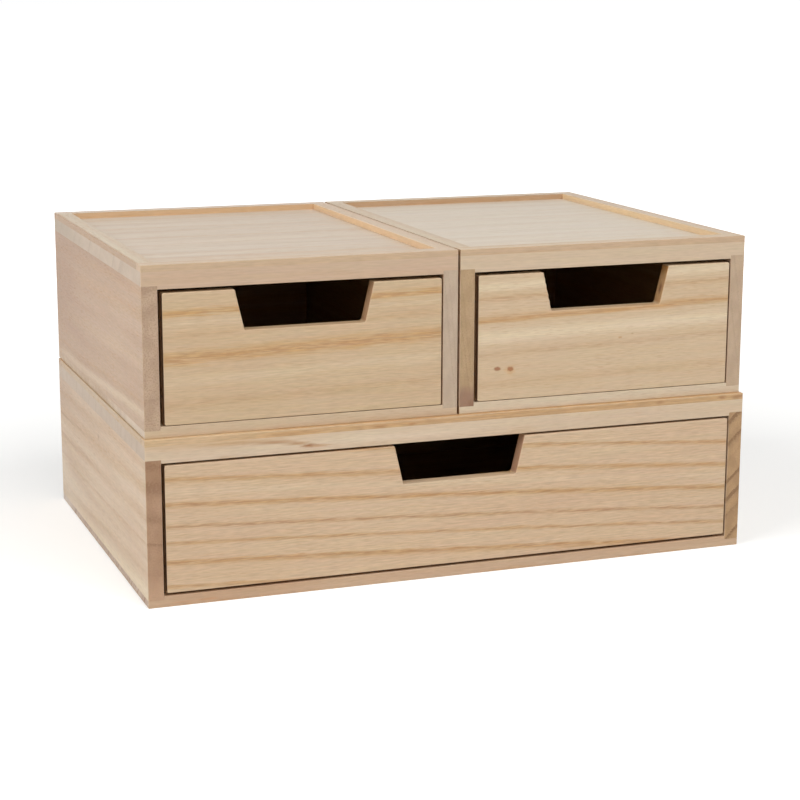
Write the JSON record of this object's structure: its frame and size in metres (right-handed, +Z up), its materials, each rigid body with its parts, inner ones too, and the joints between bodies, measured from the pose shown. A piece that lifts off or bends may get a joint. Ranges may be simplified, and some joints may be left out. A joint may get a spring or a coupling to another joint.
{
  "type": "desktop mini drawers",
  "caption": "Unfinished wooden desktop organizer: a wide drawer unit carrying two half-width ones, with rimmed trays on top and trapezoid finger cutouts in the drawer fronts.",
  "frame": {"origin": "centre of the lower unit's underside, on the surface that it stands on", "axes": "+X to the right seen from the drawer fronts, +Y to the back, +Z up"},
  "size_m": [0.33, 0.223, 0.1706],
  "materials": {
    "tray_wood": "unfinished, planed",
    "rim_wood": "unfinished, planed",
    "side_wood": "unfinished, sanded",
    "carcass_wood": "unfinished, planed",
    "front_wood": "unfinished, planed",
    "drawer_box_wood": "unfinished, sawn and sanded",
    "brad_steel": "bright wire"
  },
  "bodies": {
    "lower_unit": {"lower_bottom_board": "carcass_wood", "lower_top_board": "tray_wood", "lower_left_side": "side_wood", "lower_right_side": "side_wood", "lower_back_board": "carcass_wood", "lower_rim_front": "rim_wood", "lower_rim_back": "rim_wood", "lower_rim_left": "rim_wood", "lower_rim_right": "rim_wood"},
    "lower_drawer": {"lower_drawer_front": "front_wood", "lower_drawer_left_side": "drawer_box_wood", "lower_drawer_right_side": "drawer_box_wood", "lower_drawer_back": "drawer_box_wood", "lower_drawer_bottom": "drawer_box_wood", "lower_drawer_brads": "brad_steel"},
    "upper_left_unit": {"upper_left_bottom_board": "carcass_wood", "upper_left_top_board": "tray_wood", "upper_left_left_side": "side_wood", "upper_left_right_side": "side_wood", "upper_left_back_board": "carcass_wood", "upper_left_rim_front": "rim_wood", "upper_left_rim_back": "rim_wood", "upper_left_rim_left": "rim_wood", "upper_left_rim_right": "rim_wood"},
    "upper_left_drawer": {"upper_left_drawer_front": "front_wood", "upper_left_drawer_left_side": "drawer_box_wood", "upper_left_drawer_right_side": "drawer_box_wood", "upper_left_drawer_back": "drawer_box_wood", "upper_left_drawer_bottom": "drawer_box_wood", "upper_left_drawer_brads": "brad_steel"},
    "upper_right_unit": {"upper_right_bottom_board": "carcass_wood", "upper_right_top_board": "tray_wood", "upper_right_left_side": "side_wood", "upper_right_right_side": "side_wood", "upper_right_back_board": "carcass_wood", "upper_right_rim_front": "rim_wood", "upper_right_rim_back": "rim_wood", "upper_right_rim_left": "rim_wood", "upper_right_rim_right": "rim_wood"},
    "upper_right_drawer": {"upper_right_drawer_front": "front_wood", "upper_right_drawer_left_side": "drawer_box_wood", "upper_right_drawer_right_side": "drawer_box_wood", "upper_right_drawer_back": "drawer_box_wood", "upper_right_drawer_bottom": "drawer_box_wood", "upper_right_drawer_brads": "brad_steel"}
  },
  "joints": [
    {"name": "lower_drawer_slide", "type": "slide", "parent": "lower_unit", "child": "lower_drawer", "axis": [0, -1, 0], "range_m": [0, 0.15]},
    {"name": "upper_left_lift", "type": "slide", "parent": "lower_unit", "child": "upper_left_unit", "axis": [0, 0, 1], "range_m": [0, 0.1]},
    {"name": "upper_left_drawer_slide", "type": "slide", "parent": "upper_left_unit", "child": "upper_left_drawer", "axis": [0, -1, 0], "range_m": [0, 0.15]},
    {"name": "upper_right_lift", "type": "slide", "parent": "lower_unit", "child": "upper_right_unit", "axis": [0, 0, 1], "range_m": [0, 0.1]},
    {"name": "upper_right_drawer_slide", "type": "slide", "parent": "upper_right_unit", "child": "upper_right_drawer", "axis": [0, -1, 0], "range_m": [0, 0.15]}
  ]
}
